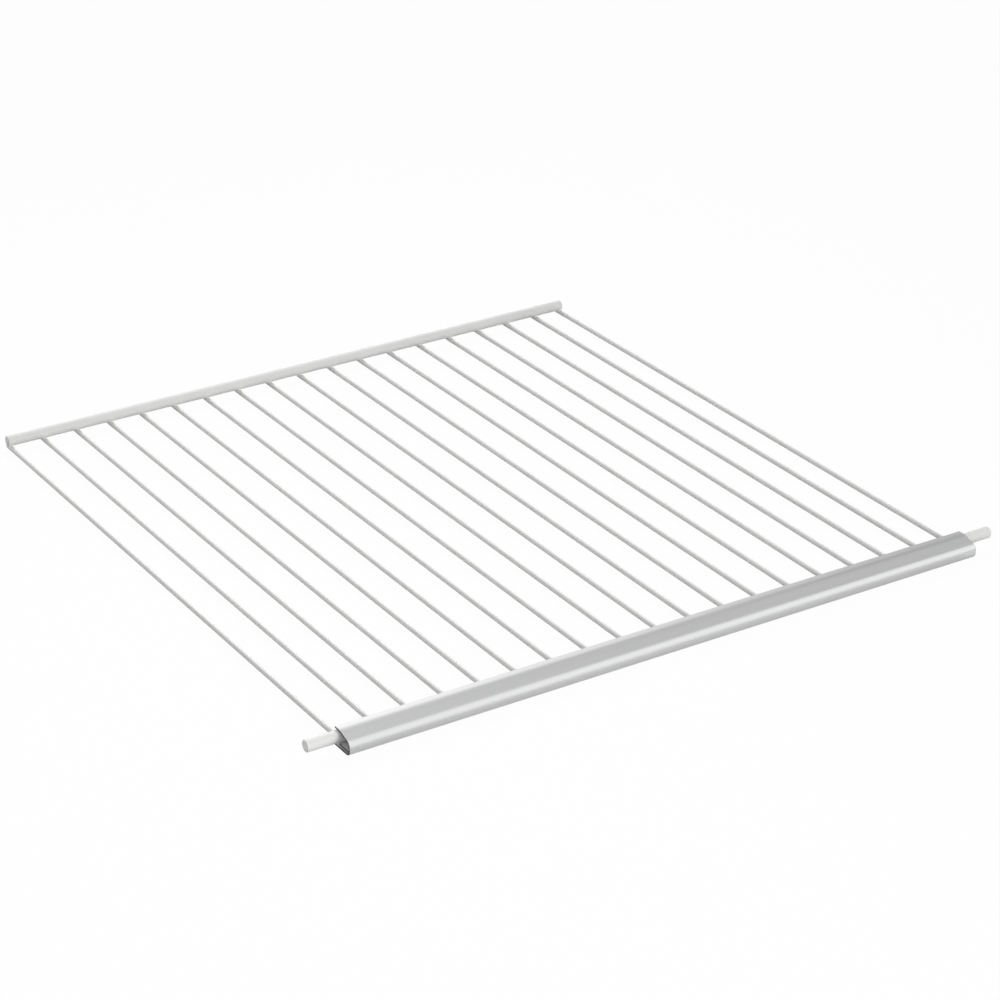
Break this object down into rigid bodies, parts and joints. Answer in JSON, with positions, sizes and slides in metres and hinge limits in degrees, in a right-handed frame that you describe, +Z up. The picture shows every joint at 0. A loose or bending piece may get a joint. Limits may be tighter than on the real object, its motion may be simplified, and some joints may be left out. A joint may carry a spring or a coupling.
{
  "type": "freezer shelf",
  "caption": "Flat wire shelf for an upright freezer: white coated wires welded under a front and a rear rod, with a metal front trim and a plain pin at each front corner.",
  "frame": {"origin": "under the middle of the shelf's bounding box, level with the front trim's underside", "axes": "+X to the right along the rods, +Y from the front trim to the rear rod, +Z up"},
  "size_m": [0.495, 0.4874, 0.0125],
  "materials": {
    "white_coating": "white powder coat on steel, semi-gloss, with a faint orange peel",
    "trim_metal": "satin anodised aluminium extrusion with fine lines along its length"
  },
  "bodies": {
    "root": {"rear_rod": "white_coating", "front_rod": "white_coating", "front_trim": "trim_metal", "wire_01": "white_coating", "wire_02": "white_coating", "wire_03": "white_coating", "wire_04": "white_coating", "wire_05": "white_coating", "wire_06": "white_coating", "wire_07": "white_coating", "wire_08": "white_coating", "wire_09": "white_coating", "wire_10": "white_coating", "wire_11": "white_coating", "wire_12": "white_coating", "wire_13": "white_coating", "wire_14": "white_coating", "wire_15": "white_coating", "wire_16": "white_coating", "wire_17": "white_coating", "wire_18": "white_coating", "wire_19": "white_coating"}
  },
  "joints": []
}
